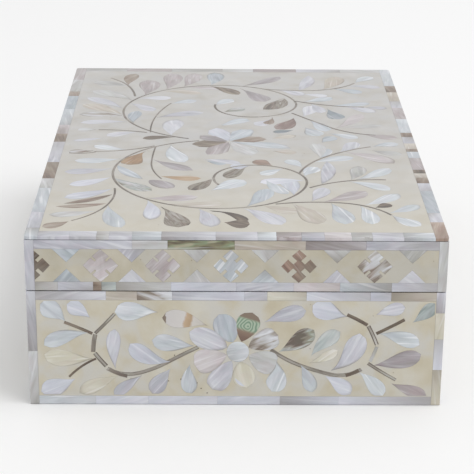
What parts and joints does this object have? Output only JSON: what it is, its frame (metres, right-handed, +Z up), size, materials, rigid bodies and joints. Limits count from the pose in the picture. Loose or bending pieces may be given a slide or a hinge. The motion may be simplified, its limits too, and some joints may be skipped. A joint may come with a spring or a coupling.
{
  "type": "inlaid keepsake box",
  "caption": "Low rectangular wooden box with a deep lift-off lid, covered all round with mother-of-pearl flowers, curling vines and leaves set flush in cream resin.",
  "frame": {"origin": "middle of the underside", "axes": "+Z up, +Y from the front towards the back along the box's length, +X to the right"},
  "size_m": [0.203, 0.305, 0.089],
  "materials": {
    "pearl_shell": "white and lavender-grey mother-of-pearl, sawn thin and polished under a clear satin lacquer",
    "grey_shell": "grey and abalone mother-of-pearl, polished under a clear satin lacquer",
    "brown_shell": "brown-lip shell with darker streaks, polished under a clear satin lacquer",
    "cream_resin": "cream resin poured round the shell, ground flush and lacquered, with small pits",
    "carcass_wood": "plain light brown wood, oiled inside and under the box"
  },
  "bodies": {
    "root": {"base_back_border": "pearl_shell", "base_back_flower": "grey_shell", "base_back_ground": "cream_resin", "base_back_left_vine": "pearl_shell", "base_back_right_vine": "pearl_shell", "base_carcass": "carcass_wood", "base_front_border": "pearl_shell", "base_front_flower": "grey_shell", "base_front_ground": "cream_resin", "base_front_left_vine": "pearl_shell", "base_front_right_vine": "pearl_shell", "base_left_border": "pearl_shell", "base_left_flower": "grey_shell", "base_left_ground": "cream_resin", "base_left_left_vine": "pearl_shell", "base_left_right_vine": "pearl_shell", "base_right_border": "pearl_shell", "base_right_flower": "grey_shell", "base_right_ground": "cream_resin", "base_right_left_vine": "pearl_shell", "base_right_right_vine": "pearl_shell", "lid_back_border": "pearl_shell", "lid_back_ground": "cream_resin", "lid_carcass": "carcass_wood", "lid_front_border": "pearl_shell", "lid_front_cross_1": "pearl_shell", "lid_front_cross_2": "brown_shell", "lid_front_cross_3": "pearl_shell", "lid_front_cross_4": "brown_shell", "lid_front_cross_5": "pearl_shell", "lid_front_ground": "cream_resin", "lid_left_border": "pearl_shell", "lid_left_ground": "cream_resin", "lid_right_border": "pearl_shell", "lid_right_ground": "cream_resin", "lid_top_border": "pearl_shell", "lid_top_far_vine": "pearl_shell", "lid_top_flower": "grey_shell", "lid_top_ground": "cream_resin", "lid_top_near_vine": "pearl_shell"}
  },
  "joints": []
}
